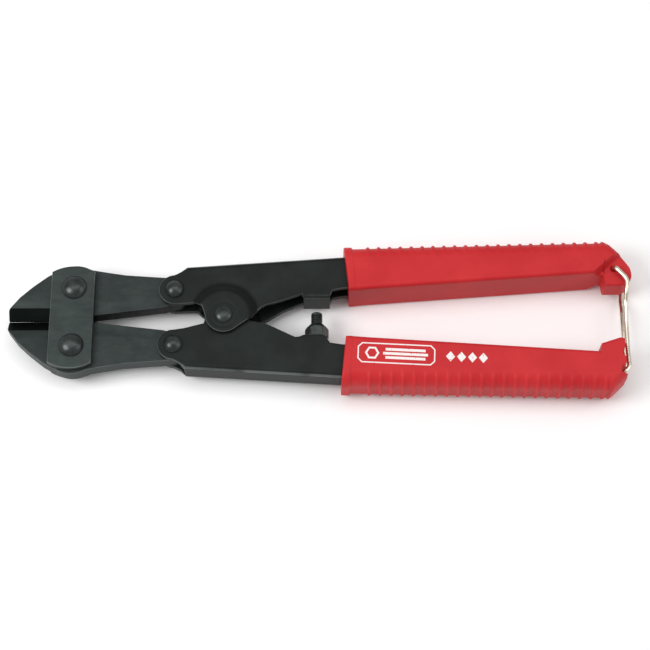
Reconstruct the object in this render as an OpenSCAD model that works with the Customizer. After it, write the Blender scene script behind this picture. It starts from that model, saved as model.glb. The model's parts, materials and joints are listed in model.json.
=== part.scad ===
// Mini bolt cutter with compound leverage, lying flat with its jaws closed.
// All plan sizes are measured from the centre of the handle pivot, with X towards
// the grips, Y across the tool and Z through its thickness.

/* [Overall] */
// From the handle pivot to the nose of the jaws
jaw_reach = 72.6; // [70:0.1:90]
// From the handle pivot to the rear end of the upper grip
grip_reach = 137.7; // [130:0.1:170]
// Half of the grips' thickness
grip_half = 8.2; // [8.2:0.1:10]

/* [Linkage] */
// From the handle pivot forward to the jaw pivots
jaw_pivot_x = 50.5; // [46:0.1:54]
// From the centre line to each jaw pivot
jaw_pivot_y = 10.35; // [10:0.05:12.5]
// From the handle pivot forward to the link pivots
link_x = 16.75; // [15:0.05:19]
// From the centre line to each link pivot
link_y = 9.9; // [9.5:0.05:12]
// Gap round a rivet that a part turns on
run_gap = 0.05; // [0.02:0.01:0.1]
// Gap round the lower jaw rivet, where the linkage closes
closing_gap = 0.16; // [0.14:0.01:0.3]
// Gap between plates that slide over one another
layer_gap = 0.1; // [0.05:0.05:0.2]

/* [Jaws] */
// Thickness of the jaws
jaw_t = 5.6; // [4.6:0.1:6.6]
// Radius of the round boss about each jaw pivot
jaw_boss_r = 9.2; // [8.6:0.1:10]
// Radius of the end of each jaw's tail
jaw_tail_r = 4.9; // [4:0.1:5.2]
// Half of the gap between the closed cutting edges
edge_gap = 0.05; // [0.02:0.01:0.2]
// Width of the bevel along each cutting edge
bevel_w = 4.2; // [3:0.1:5]
// Thickness of the cutting edge itself
edge_t = 0.5; // [0.3:0.1:1]

/* [Side plates] */
// Width of the side plates
strap_w = 14.6; // [13:0.1:17]
// Half of the length of the side plates
strap_half = 18.4; // [17:0.1:22]
// Thickness of the side plates
strap_t = 2.5; // [2:0.1:3.2]
// Radius of the curved ends
strap_end_r = 14; // [10:0.5:20]

/* [Rivets] */
// Radius of the jaw rivets
jaw_rivet_r = 3.1; // [2.5:0.1:3.5]
// Radius of the jaw rivets' heads
jaw_head_r = 4.1; // [3.8:0.1:5]
// Height of the jaw rivets' heads
jaw_head_h = 2.3; // [1.5:0.1:2.4]
// Radius of the link rivets
link_rivet_r = 2.3; // [1.8:0.1:2.6]
// Radius of the link rivets' heads
link_head_r = 3.1; // [2.8:0.1:3.6]
// Height of the link rivets' heads
link_head_h = 2; // [1.2:0.1:2.4]
// Radius of the centre rivet
centre_rivet_r = 2; // [1.6:0.1:2.3]
// Radius of the centre rivet's heads
centre_head_r = 2.9; // [2.6:0.1:3.6]
// Height of the centre rivet's heads
centre_head_h = 1.4; // [1:0.1:1.5]

/* [Arms] */
// Thickness of the folded sheet
sheet = 1.8; // [1.4:0.1:2.2]
// Radius of the round ear about each link pivot
ear_r = 5.3; // [4.9:0.05:5.4]
// Radius of the raised lobe about the handle pivot
lobe_r = 6.2; // [5.6:0.1:6.6]
// Radius inside which the upper arm is fully raised
raised_r = 9; // [8.6:0.1:9.6]
// Length of the ramp from the raised disc down to the arm
ramp_w = 3.6; // [3:0.1:4.4]
// Where the folded back of each arm begins, forward of the handle pivot
web_start = 12.8; // [12:0.1:14]
// From the centre line to the arm's back at its front end
back_front = 18.4; // [17.5:0.1:19]
// From the centre line to the arm's back where the grip begins
back_rear = 21.9; // [21:0.1:22.2]
// How far the arm runs on inside its grip
tang_run = 70; // [50:1:80]

/* [Spring] */
// Wire of the opening spring
spring_wire = 1.2; // [1:0.1:1.3]
// Mean radius of the spring's coil
coil_r = 4.7; // [4.4:0.1:5]
// Outer radius of the spacer bush
bush_r = 3.4; // [3:0.1:3.6]

/* [Stop] */
// Where the stop screw stands, behind the handle pivot
stop_x = 31.1; // [30:0.1:34]
// Radius of the stop screw
screw_r = 1.95; // [1.5:0.05:2.2]
// Length of the stop screw
screw_len = 15; // [12:0.5:16]
// Height of the screw's tip above the centre line
screw_tip = 2.8; // [1:0.1:3]
// Width across the flats of the lock nut
nut_af = 7; // [6:0.5:8]
// Height of the lock nut
nut_h = 5; // [4:0.1:5.4]
// Length of the stop pad
pad_len = 8.9; // [7:0.1:10]
// Height of the pad's face above the centre line
pad_y = 6.3; // [6.1:0.1:7]

/* [Grips] */
// Where the grips begin, behind the handle pivot
grip_front = 39.5; // [38:0.5:44]
// How much further forward the lower grip is pushed on
lower_ahead = 1.2; // [0:0.1:2]
// From the centre line to the ribs' tops at the front
grip_out_front = 25.2; // [24.5:0.1:28]
// From the centre line to the ribs' tops at the rear
grip_out_rear = 27.1; // [26.5:0.1:30]
// From the centre line to the inner edge at the front
grip_in_front = 8.2; // [7:0.1:9]
// From the centre line to the inner edge at the rear
grip_in_rear = 14.2; // [13:0.1:15]
// Radius along the outer edges
grip_round = 5; // [3:0.5:6]
// Bevel along the inner edges
grip_bevel = 1.2; // [0.5:0.1:2]
// Height of the cross ribs
rib_h = 0.6; // [0.4:0.1:1]
// Width of a cross rib
rib_w = 1.3; // [1:0.1:2]
// Distance from one rib to the next
rib_pitch = 3.7; // [3:0.1:5]
// Length of the collar at the front of each grip
collar_len = 2.8; // [2:0.1:4]

/* [Latch] */
// Wire of the latch
latch_wire = 1.6; // [1.2:0.1:1.8]
// How far the latch hinge stands in front of the grip's rear end
hinge_back = 5.9; // [5.5:0.1:6.5]
// From the centre line to the latch hinge
hinge_y = 16.85; // [16.5:0.05:17.5]
// Half thickness of the upper grip's flattened end
end_half = 4.6; // [4.2:0.1:5]
// Distance from each bend in the latch's wire to where the wire is straight again
latch_bend = 1.5; // [1.3:0.1:1.8]
// From the centre line down to the latch's crossbar
catch_y = 20.3; // [20:0.1:21]
// How far the crossbar stands in front of the upper grip's rear end
catch_back = 5.3; // [5.1:0.1:5.5]
// Gap between the latch and what it passes or rests in
latch_gap = 0.25; // [0.2:0.05:0.4]

/* [Hidden] */
$fn = 64;
big = 400;

jaw_half = jaw_t / 2;
strap_low = jaw_half + layer_gap / 2;
strap_top = strap_low + strap_t;
arm_low = jaw_half + layer_gap;
arm_top = arm_low + sheet;
raised_low = arm_top + layer_gap;
raised_top = raised_low + sheet;
ramp_r = raised_r + ramp_w;

steel = [0.24, 0.27, 0.27];
dark_steel = [0.17, 0.19, 0.19];
rivet_steel = [0.33, 0.36, 0.36];
zinc = [0.72, 0.66, 0.52];
red = [0.8, 0.2, 0.22];

// The middle of the whole length stands over the origin, and the grips rest on Z = 0.
module placed() translate([(jaw_reach - grip_reach) / 2, 0, grip_half]) children();
// A piece of the lower side, as the mirror image of one on the upper side.
module lower() mirror([0, 1, 0]) children();
// A plan outline as a plate from height a to height b.
module plate(a, b) translate([0, 0, a]) linear_extrude(b - a) children();
// The same plate on both faces of the tool.
module both_plates(a, b) for (s = [0, 1]) mirror([0, 0, s]) plate(a, b) children();
module bore(x, y, r) translate([x, y, -big / 2]) cylinder(r = r, h = big);

// ---- Wire swept along a path with rounded corners ----
function unit(v) = v / norm(v);
function curve(a, b, c, t) = a * pow(1 - t, 2) + b * 2 * t * (1 - t) + c * pow(t, 2);
// Each inner corner becomes a curve that begins and ends r from it.
function bend(p, r) = [
    p[0],
    for (i = [1 : len(p) - 2], t = [0 : 0.2 : 1])
        curve(p[i] + unit(p[i - 1] - p[i]) * r, p[i], p[i] + unit(p[i + 1] - p[i]) * r, t),
    p[len(p) - 1]
];
function heading(p, i) = unit(p[min(i + 1, len(p) - 1)] - p[max(i - 1, 0)]);
function ring(at, along, ref, r, sides) =
    let (n = unit(cross(along, ref)), m = cross(n, along))
    [for (k = [0 : sides - 1]) at + n * r * cos(360 * k / sides) + m * r * sin(360 * k / sides)];
module wire(p, ref, r, sides) {
    rings = [for (i = [0 : len(p) - 1]) each ring(p[i], heading(p, i), ref, r, sides)];
    last = len(rings) - sides;
    polyhedron(
        rings,
        [
            [for (k = [0 : sides - 1]) k],
            for (i = [0 : len(p) - 2], k = [0 : sides - 1])
                let (a = i * sides + k, b = i * sides + (k + 1) % sides)
                [a, a + sides, b + sides, b],
            [for (k = [0 : sides - 1]) last + sides - 1 - k]
        ]
    );
}

// ---- Jaws ----
// The cutting edge is straight to the jaw pivot. Behind it the inner edge slants away
// from the centre line, so that the tails can close when the jaws open.
tail_in_x = -link_x - 3.7;
tail_in_y = link_y - 5.85;
heel_x = -jaw_pivot_x + 7;
heel_y = 1.25;
nose_h = 3.2;
boss_top = jaw_pivot_y + jaw_boss_r;

module jaw_outline() {
    translate([-jaw_pivot_x, jaw_pivot_y]) circle(jaw_boss_r);
    translate([-link_x, link_y]) circle(jaw_tail_r);
    polygon([
        [-jaw_reach, edge_gap], [-jaw_pivot_x, edge_gap], [heel_x, heel_y],
        [tail_in_x, tail_in_y], [-link_x, link_y - jaw_tail_r], [-link_x, link_y + jaw_tail_r],
        [-jaw_pivot_x + 17, boss_top - 3.55], [-jaw_pivot_x + 10, boss_top - 2.4],
        [-jaw_pivot_x + 5, boss_top - 1.48], [-jaw_pivot_x, boss_top - 1],
        [-jaw_pivot_x - 6, boss_top - 1.9], [-jaw_pivot_x - 9.6, boss_top - 3.9],
        [-jaw_pivot_x - 14.4, boss_top - 7.7], [-jaw_pivot_x - 18.6, boss_top - 11.55],
        [-jaw_reach + 0.2, nose_h + 0.6], [-jaw_reach, nose_h]
    ]);
}

module jaw(rivet_gap) difference() {
    plate(-jaw_half, jaw_half) jaw_outline();
    bore(-jaw_pivot_x, jaw_pivot_y, jaw_rivet_r + rivet_gap);
    bore(-link_x, link_y, link_rivet_r + run_gap);
    // Bevels on both faces run down to the cutting edge.
    for (s = [0, 1]) mirror([0, 0, s])
        translate([-jaw_reach - 1, 0, 0]) rotate([90, 0, 90])
            linear_extrude(jaw_reach - jaw_pivot_x - 2)
                polygon([[-1, edge_t / 2], [edge_gap, edge_t / 2], [bevel_w, jaw_half],
                    [bevel_w, jaw_t], [-1, jaw_t]]);
}

module upper_jaw() color(steel) placed() jaw(run_gap);
module lower_jaw() color(steel) placed() lower() jaw(closing_gap);

// ---- Side plates ----
strap_shift = 0.5;
module strap_outline() translate([-jaw_pivot_x - strap_shift, 0]) intersection() {
    square([strap_w, 2 * strap_half], center = true);
    union() {
        for (s = [-1, 1]) translate([0, s * (strap_half - strap_end_r)]) circle(strap_end_r, $fn = 96);
        square([strap_w, 2 * (strap_half - strap_end_r)], center = true);
    }
}
module strap() difference() {
    plate(strap_low, strap_top) strap_outline();
    for (s = [-1, 1]) bore(-jaw_pivot_x, s * jaw_pivot_y, jaw_rivet_r);
}
module front_side_plate() color(steel) placed() strap();
module back_side_plate() color(steel) placed() mirror([0, 0, 1]) strap();

// ---- Rivets: a shank with the same low conical head at both ends ----
head_edge = 0.7;
module rivet(r, grip, head_r, head_h) rotate_extrude() polygon([
    [0, -grip - head_h], [head_r - head_edge, -grip - head_h], [head_r, -grip - head_h + head_edge],
    [head_r, -grip], [r, -grip], [r, grip], [head_r, grip],
    [head_r, grip + head_h - head_edge], [head_r - head_edge, grip + head_h], [0, grip + head_h]
]);
module jaw_rivet() translate([-jaw_pivot_x, jaw_pivot_y, 0])
    rivet(jaw_rivet_r, strap_top, jaw_head_r, jaw_head_h);
module link_rivet() translate([-link_x, link_y, 0])
    rivet(link_rivet_r, arm_top, link_head_r, link_head_h);
module upper_jaw_rivet() color(rivet_steel) placed() jaw_rivet();
module lower_jaw_rivet() color(rivet_steel) placed() lower() jaw_rivet();
module upper_link_rivet() color(rivet_steel) placed() link_rivet();
module lower_link_rivet() color(rivet_steel) placed() lower() link_rivet();
module centre_rivet() color(rivet_steel) placed()
    rivet(centre_rivet_r, raised_top, centre_head_r, centre_head_h);
module pivot_bush() color(rivet_steel) placed() difference() {
    cylinder(r = bush_r, h = 2 * jaw_half, center = true);
    bore(0, 0, centre_rivet_r);
}

// ---- Arms ----
// The back of the upper arm is straight, and runs on more gently inside the grip.
tang_end = grip_front + tang_run;
tang_out = back_rear + 0.02 * tang_run;
arm_in = 10.1;
tang_in = arm_in + 0.08 * tang_run;
pad_x0 = stop_x - pad_len / 2;
pad_x1 = stop_x + pad_len / 2;
pad_lip = 1.2;
function back_y(x) = back_front
    + (x + web_start) * (back_rear - back_front) / (grip_front + web_start);

module ear() translate([-link_x, link_y]) circle(ear_r);
// The shoulder between the ear and the front of the back.
shoulder = [
    [-link_x, link_y], [-link_x - 3.2, link_y + 4.2],
    [-link_x + 0.4, link_y + 5.6], [-link_x + 2.2, link_y + 6.6]
];
back_edge = [
    [-web_start, back_y(-web_start)], [grip_front, back_rear], [tang_end, tang_out],
    [tang_end, tang_in], [grip_front, arm_in]
];
seat_y = pad_y + pad_lip;
module upper_arm_outline() {
    ear();
    circle(lobe_r);
    polygon(concat(back_edge, [
        [pad_x1 + 1, arm_in - 0.6], [pad_x1, seat_y], [pad_x0, seat_y],
        [stop_x - 4.9, 7.6], [19.5, 4.7], [14.4, 1.4], [9.2, -1], [4.2, -4.5], [-lobe_r, 0],
        [-7.4, 3.4], [-9.4, 4.9], [-link_x, link_y - ear_r]
    ], shoulder));
}
module back_strip() polygon([
    [-web_start, back_y(-web_start)], [grip_front, back_rear], [tang_end, tang_out],
    [tang_end, tang_out - sheet], [grip_front, back_rear - sheet],
    [-web_start, back_y(-web_start) - sheet]
]);

// One plate of the upper arm: flat, with a disc round the pivot raised by a conical ramp.
plate_reach = 200;
module joggled_plate() intersection() {
    plate(0, raised_top + 1) upper_arm_outline();
    rotate_extrude() polygon([
        [0, raised_low], [raised_r, raised_low], [ramp_r, arm_low], [plate_reach, arm_low],
        [plate_reach, arm_top], [ramp_r, arm_top], [raised_r, raised_top], [0, raised_top]
    ]);
}

// The front plate is cut back further than the rear one beside the lobe.
module front_relief() plate(0, raised_top + 2) polygon([
    [9.2, -1], [10.6, 1.2], [12.4, 3.2], [14.2, 4.2], [16.5, 4.8], [19.9, 5.9],
    [stop_x - 6.3, 7.7], [stop_x - 4.9, 8.2], [stop_x - 4.9, 5], [19.5, 2], [14.4, -1.3], [9.6, -3]
]);

module upper_arm() color(dark_steel) placed() difference() {
    union() {
        difference() {
            joggled_plate();
            front_relief();
        }
        mirror([0, 0, 1]) joggled_plate();
        plate(-arm_top, arm_top) back_strip();
    }
    bore(0, 0, centre_rivet_r);
    bore(-link_x, link_y, link_rivet_r);
}

// The lower arm stays flat, and its lobe lies under the upper arm's raised disc.
lobe_under = lobe_r - 0.2;
module lower_arm_outline() {
    ear();
    circle(lobe_under);
    polygon(concat(back_edge, [
        [pad_x1, arm_in - 0.6], [stop_x + 2.8, 6.9], [stop_x - 4.2, 6.6], [stop_x - 6, 7.3],
        [stop_x - 7.2, 7.4], [14.6, 2.8], [8.4, 1.4], [lobe_under, 0], [0, -lobe_under + 2],
        [-lobe_under, 0], [-6.8, 2.4], [-13.4, 4.1], [-link_x, link_y - ear_r]
    ], shoulder));
}
module lower_arm() color(dark_steel) placed() lower() difference() {
    union() {
        both_plates(arm_low, arm_top) lower_arm_outline();
        plate(-arm_top, arm_top) back_strip();
    }
    bore(0, 0, centre_rivet_r + run_gap);
    bore(-link_x, link_y, link_rivet_r);
}

// ---- Opening spring ----
spring_x_up = 12.2;
spring_x_low = 19.2;
spring_r = spring_wire / 2;
spring_turns = 3;
coil_rise = jaw_half - spring_r - 0.1;
function angle_of(p) = atan2(p[1], p[0]);
// A leg's free end lies against the inside of its arm's back.
function leg_end(x) = [x, back_y(x) - sheet - spring_r - 0.05];
function touch_angle(p) = angle_of(p) - acos(coil_r / norm(p));
up_angle = touch_angle(leg_end(spring_x_up));
low_angle = -touch_angle(leg_end(spring_x_low)) - 360 * spring_turns;
function on_coil(a) = [coil_r * cos(a), coil_r * sin(a),
    coil_rise * (1 - 2 * (up_angle - a) / (up_angle - low_angle))];
// The coil's last part turns with the lower leg.
split_angle = low_angle + 40;
module opening_spring() color(zinc) placed() wire(
    [concat(leg_end(spring_x_up), coil_rise), for (a = [up_angle : -15 : split_angle + 10]) on_coil(a),
        on_coil(split_angle + 2)],
    [0, 0, 1], spring_r, 10);
module spring_lower_leg() color(zinc) placed() wire(
    [for (a = [split_angle : -10 : low_angle]) on_coil(a),
        [spring_x_low, -leg_end(spring_x_low)[1], -coil_rise]],
    [0, 0, 1], spring_r, 10);

// ---- Stop ----
module on_stop_axis(y) translate([stop_x, y, 0]) rotate([-90, 0, 0]) children();
weld_nut_top = -pad_y - 0.1;
weld_nut_h = 3.2;
screw_seat_gap = 0.05;
nut_cone = 2; // height of the cone on the lock nut's top
module stop_pad() color(dark_steel) placed() {
    translate([pad_x0, pad_y, -arm_top]) cube([pad_len, pad_lip, 2 * arm_top]);
    translate([pad_x0, pad_y + pad_lip, -arm_low]) cube([pad_len, 3, 2 * arm_low]);
}
tip_round = 0.9;
module stop_screw() color(rivet_steel) placed() on_stop_axis(screw_tip - screw_len)
    rotate_extrude() polygon([
        [0, 0], [screw_r - 0.4, 0], [screw_r, 0.4], [screw_r, screw_len - tip_round],
        [screw_r - 0.3, screw_len - 0.35], [screw_r - tip_round, screw_len], [0, screw_len]
    ]);
module stop_lock_nut() color(rivet_steel) placed() difference() {
    on_stop_axis(weld_nut_top) intersection() {
        cylinder(d = nut_af / cos(30), h = nut_h, $fn = 6);
        rotate_extrude() polygon([
            [0, 0], [nut_af / 2 + 0.6, 0], [nut_af / 2 + 0.6, nut_h - nut_cone],
            [screw_r + 0.3, nut_h], [0, nut_h]
        ]);
    }
    on_stop_axis(-big / 2) cylinder(r = screw_r + screw_seat_gap, h = big);
}
module stop_weld_nut() color(dark_steel) placed() difference() {
    translate([stop_x - 3.7, weld_nut_top - weld_nut_h, -arm_low])
        cube([7.4, weld_nut_h, 2 * arm_low]);
    on_stop_axis(-big / 2) cylinder(r = screw_r + screw_seat_gap, h = big);
}

// ---- Grips, drawn for the upper side ----
out_end = grip_reach - 9;
in_end = grip_reach - 12.7;
out_lean = atan((grip_out_rear - grip_out_front) / (out_end - grip_front));
in_lean = atan((grip_in_rear - grip_in_front) / (in_end - grip_front));
front_slant = 1.7;

// A long bar whose outer edge lies along the ribs' tops, less the inset, with round edges.
module grip_bar(inset) translate([grip_front, grip_out_front - inset, 0]) rotate([0, 0, out_lean])
    translate([-20, 0, 0]) rotate([90, 0, 90]) linear_extrude(grip_reach) {
        translate([-60, -grip_half]) square([60 - grip_round, 2 * grip_half]);
        translate([-grip_round - 1, -grip_half + grip_round])
            square([grip_round + 1, 2 * (grip_half - grip_round)]);
        for (s = [-1, 1]) translate([-grip_round, s * (grip_half - grip_round)]) circle(grip_round);
    }
// Bevels along the straight inner edge.
module inner_bevels() translate([grip_front, grip_in_front, 0]) rotate([0, 0, in_lean])
    for (s = [0, 1]) mirror([0, 0, s]) translate([-5, 0, grip_half]) rotate([45, 0, 0])
        cube([in_end - grip_front + 5, grip_bevel * sqrt(2), grip_bevel * sqrt(2)], center = false);
module grip_bands() {
    translate([grip_front - 5, 0, -grip_half]) cube([collar_len + 5, 50, 2 * grip_half]);
    for (x = [grip_front + 7.2 : rib_pitch : out_end - 2])
        translate([x - rib_w / 2, 0, -grip_half]) cube([rib_w, 50, 2 * grip_half]);
    translate([out_end, 0, -grip_half]) cube([30, 50, 2 * grip_half]);
}
module ribbed_bar() {
    grip_bar(rib_h);
    intersection() {
        grip_bar(0);
        grip_bands();
    }
}
module tang_room() plate(-arm_top, arm_top) polygon(concat(back_edge, [[grip_front - 5, arm_in]]));

// The upper grip's rear end turns in over the gap, and its corner is cut off round.
hinge_x = grip_reach - hinge_back;
module upper_grip_outline() {
    polygon([
        [grip_front + front_slant, grip_in_front], [in_end, grip_in_rear],
        [in_end + 3, grip_in_rear], [in_end + 3.6, 10.8], [grip_reach - 2, 10.8], [grip_reach - 4, 14.5],
        [grip_reach - 1.7, 19.4], [grip_reach - 4.2, 22.8], [grip_reach - 7.2, 25.9], [out_end, 40], [grip_front, 40]
    ]);
    translate([grip_reach - 4, 14.8]) circle(4);
}
// The end is flattened on both faces beyond a slanting bevel, for the latch to lie on.
crease_x = hinge_x - 3.8;
crease_y = hinge_y + 1.3;
crease_turn = -48.5;
crease_w = 1.9;
module end_flats() for (s = [0, 1]) mirror([0, 0, s])
    translate([crease_x, crease_y, 0]) rotate([0, 0, crease_turn]) translate([0, 30, 0]) rotate([90, 0, 0])
        linear_extrude(60) polygon([
            [0, grip_half], [crease_w, end_half], [40, end_half], [40, 20], [0, 20]
        ]);
module upper_grip() color(red) placed() difference() {
    intersection() {
        ribbed_bar();
        plate(-grip_half, grip_half) upper_grip_outline();
    }
    inner_bevels();
    tang_room();
    end_flats();
    bore(hinge_x, hinge_y, latch_wire / 2 + run_gap);
}

// The lower grip's end has a notch for the latch's crossbar, and above it a relief that
// the crossbar crosses as the handles part.
catch_x = grip_reach - catch_back;
catch_r = latch_wire / 2 + latch_gap;
rear_x = catch_x + 0.6;
module lower_grip_outline() difference() {
    polygon([
        [grip_front + front_slant - lower_ahead, grip_in_front], [in_end, grip_in_rear - 0.2],
        [in_end + 0.3, 11.2], [rear_x - 1.3, 9.1], [rear_x, 9.3],
        [rear_x, catch_y - 7.6], [rear_x - 0.9, catch_y - 6.9], [rear_x - 0.9, catch_y - 4.9],
        [rear_x, catch_y - 4.1], [rear_x, catch_y], [rear_x + 0.5, catch_y + 1.2],
        [rear_x + 0.5, catch_y + 2], [out_end + 0.9, 26], [out_end - 1, 40],
        [grip_front - lower_ahead, 40]
    ]);
    translate([catch_x, catch_y]) circle(catch_r);
    // The notch flares towards the legs, which slant in to the crossbar.
    for (lean = [-8, -38.4])
        translate([catch_x, catch_y]) rotate([0, 0, lean]) translate([0, -catch_r])
            square([5, 2 * catch_r]);
}
module lower_grip() color(red) placed() lower() difference() {
    intersection() {
        ribbed_bar();
        plate(-grip_half, grip_half) lower_grip_outline();
    }
    inner_bevels();
    tang_room();
}

// ---- Wire latch ----
// A bail: each end turns into the hinge bore, and the crossbar joins the two legs.
leg_z = end_half + latch_bend + latch_gap;
foot_z = 3.3;
stub_in = end_half - 2.6;
// Points of one leg, as set back from the grip's rear end, across, and its share of leg_z.
leg_points = [[2.1, 12.4, 1], [2.4, 8.6, 0.96], [2.7, 4.6, 0.56], [2.9, -3, 0.44],
    [3, -11, 0.44], [2.9, -18.4, 0.52]];
function leg(s) = [for (p = leg_points) [grip_reach - p[0], p[1], s * p[2] * leg_z]];
function backwards(p) = [for (i = [len(p) - 1 : -1 : 0]) p[i]];
module wire_latch() color(zinc) placed() wire(
    bend(concat(
        [[hinge_x, hinge_y, stub_in], [hinge_x, hinge_y, leg_z]], leg(1),
        [[catch_x, -catch_y, foot_z], [catch_x, -catch_y, -foot_z]], backwards(leg(-1)),
        [[hinge_x, hinge_y, -leg_z], [hinge_x, hinge_y, -stub_in]]
    ), latch_bend),
    [1, 0, 0], latch_wire / 2, 12);

upper_jaw();
lower_jaw();
front_side_plate();
back_side_plate();
upper_jaw_rivet();
lower_jaw_rivet();
upper_link_rivet();
lower_link_rivet();
centre_rivet();
pivot_bush();
opening_spring();
spring_lower_leg();
upper_arm();
lower_arm();
stop_pad();
stop_screw();
stop_lock_nut();
stop_weld_nut();
upper_grip();
lower_grip();
wire_latch();
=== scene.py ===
import json
import bpy, bmesh
import numpy as np
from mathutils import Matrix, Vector, geometry


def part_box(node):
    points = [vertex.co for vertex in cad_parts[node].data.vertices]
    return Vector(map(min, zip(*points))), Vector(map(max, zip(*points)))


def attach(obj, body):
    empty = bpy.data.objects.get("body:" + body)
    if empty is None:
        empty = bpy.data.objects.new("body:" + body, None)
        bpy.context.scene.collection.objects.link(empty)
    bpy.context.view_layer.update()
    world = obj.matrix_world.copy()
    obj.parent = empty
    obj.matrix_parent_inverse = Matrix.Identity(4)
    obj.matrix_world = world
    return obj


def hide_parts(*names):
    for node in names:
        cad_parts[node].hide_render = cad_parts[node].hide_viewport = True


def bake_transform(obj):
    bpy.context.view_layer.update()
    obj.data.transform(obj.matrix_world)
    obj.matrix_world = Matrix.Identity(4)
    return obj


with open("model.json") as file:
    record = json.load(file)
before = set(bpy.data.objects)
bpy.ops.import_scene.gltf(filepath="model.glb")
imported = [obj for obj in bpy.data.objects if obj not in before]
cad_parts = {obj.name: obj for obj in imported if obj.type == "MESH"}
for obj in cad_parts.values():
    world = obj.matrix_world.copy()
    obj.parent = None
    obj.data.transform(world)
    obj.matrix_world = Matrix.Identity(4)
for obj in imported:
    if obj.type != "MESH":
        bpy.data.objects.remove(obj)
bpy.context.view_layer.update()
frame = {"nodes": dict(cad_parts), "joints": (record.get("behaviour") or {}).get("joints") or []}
mm = 0.001

joints = {j["name"]: j for j in frame["joints"]}
pivot = np.array(joints["handle_open"]["pos_m"]) / mm          # centre of the handle pivot, in mm
hinge = np.array(joints["latch_swing"]["pos_m"]) / mm          # centre of the latch's hinge


def boxMm(node):
    low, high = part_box(node)
    return np.array(low) / mm, np.array(high) / mm


stageLook = {"world": 0.5, "key": 2.2, "fill": 0.9, "top": 1.3, "lens": 89.5, "roll": -0.25}


def aimed(obj, target):
    obj.rotation_euler = (Vector(target) - obj.location).to_track_quat("-Z", "Y").to_euler()


def makeCamera():
    data = bpy.data.cameras.new("camera")
    data.lens, data.sensor_width = stageLook["lens"], 36
    data.clip_start = 0.01
    camera = bpy.data.objects.new("camera", data)
    camera.location = (0.00132, -0.20546, 0.5132)
    aimed(camera, (0.00132, -0.00143, 0.0082))
    camera.rotation_euler.rotate_axis("Z", np.radians(stageLook["roll"]))
    bpy.context.scene.collection.objects.link(camera)
    bpy.context.scene.camera = camera


def areaLight(name, place, size, power, colour=(1, 1, 1)):
    data = bpy.data.lights.new(name, "AREA")
    data.shape, data.size, data.size_y = "RECTANGLE", size[0], size[1]
    data.energy, data.color = power, colour
    light = bpy.data.objects.new(name, data)
    light.location = place
    aimed(light, (0, 0, 0))
    bpy.context.scene.collection.objects.link(light)


class Num:
    # a shader value that ordinary arithmetic works on
    def __init__(self, tree, socket):
        self.tree, self.socket = tree, socket

    def maths(self, operation, *others, flip=False):
        values = [self, *others]
        if flip:
            values.reverse()
        return self.tree.node("ShaderNodeMath", {"operation": operation}, dict(enumerate(values)))

    def __add__(self, other): return self.maths("ADD", other)
    def __radd__(self, other): return self.maths("ADD", other, flip=True)
    def __sub__(self, other): return self.maths("SUBTRACT", other)
    def __rsub__(self, other): return self.maths("SUBTRACT", other, flip=True)
    def __mul__(self, other): return self.maths("MULTIPLY", other)
    def __rmul__(self, other): return self.maths("MULTIPLY", other, flip=True)
    def __truediv__(self, other): return self.maths("DIVIDE", other)
    def __rtruediv__(self, other): return self.maths("DIVIDE", other, flip=True)
    def __abs__(self): return self.maths("ABSOLUTE")
    def below(self, limit, soft): return self.maths("SUBTRACT", limit, flip=True).ramp(-soft, soft)
    def above(self, limit, soft): return self.maths("SUBTRACT", limit).ramp(-soft, soft)
    def max(self, other): return self.maths("MAXIMUM", other)
    def min(self, other): return self.maths("MINIMUM", other)
    def root(self): return self.maths("SQRT")

    def ramp(self, low, high):
        # 0 below low, 1 above high, smooth between
        return self.tree.node("ShaderNodeMapRange", {"interpolation_type": "SMOOTHSTEP"},
                              {"Value": self, "From Min": low, "From Max": high})


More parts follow.
